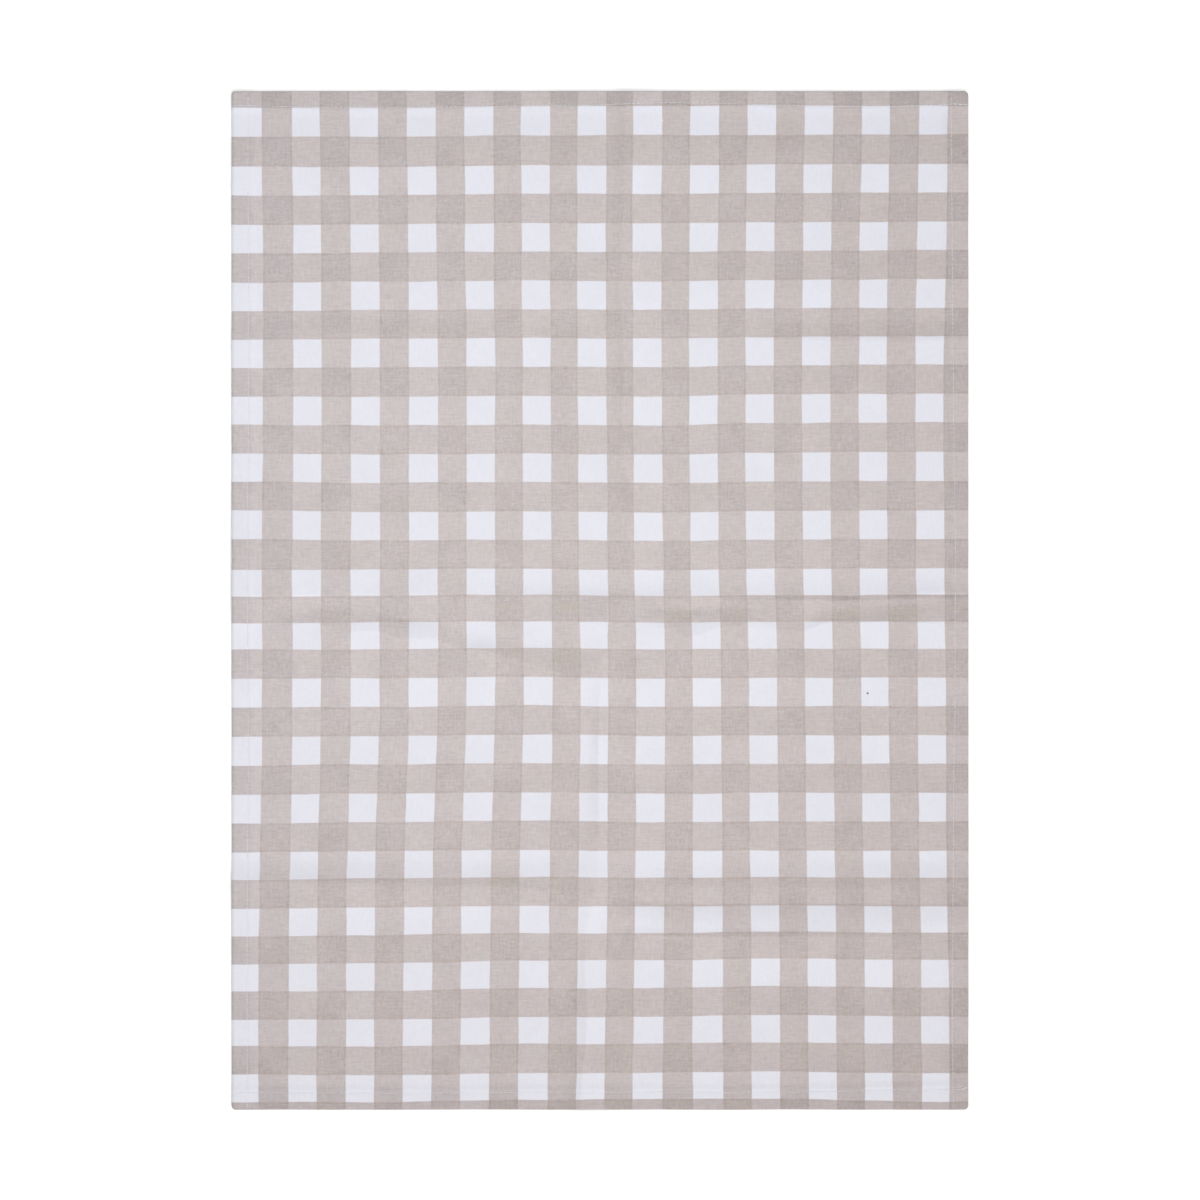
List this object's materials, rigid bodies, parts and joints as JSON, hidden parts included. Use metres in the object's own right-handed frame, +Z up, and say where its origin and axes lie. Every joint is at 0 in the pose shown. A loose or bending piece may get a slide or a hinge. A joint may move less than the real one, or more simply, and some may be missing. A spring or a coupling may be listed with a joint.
{
  "type": "tea towel",
  "caption": "Flat rectangular cotton tea towel with a printed gingham check and stitched hems, lying face up with soft fold creases.",
  "frame": {"origin": "middle of the underside, on the surface that the towel lies on", "axes": "+Z up out of the printed face, +Y along the towel's length towards its top hem, +X across it to the right"},
  "size_m": [0.5002, 0.6906, 0.0051],
  "materials": {
    "printed_cotton": "matt plain-weave cotton, taupe gingham check printed on cool white"
  },
  "bodies": {
    "root": {"towel": "printed_cotton"}
  },
  "joints": []
}
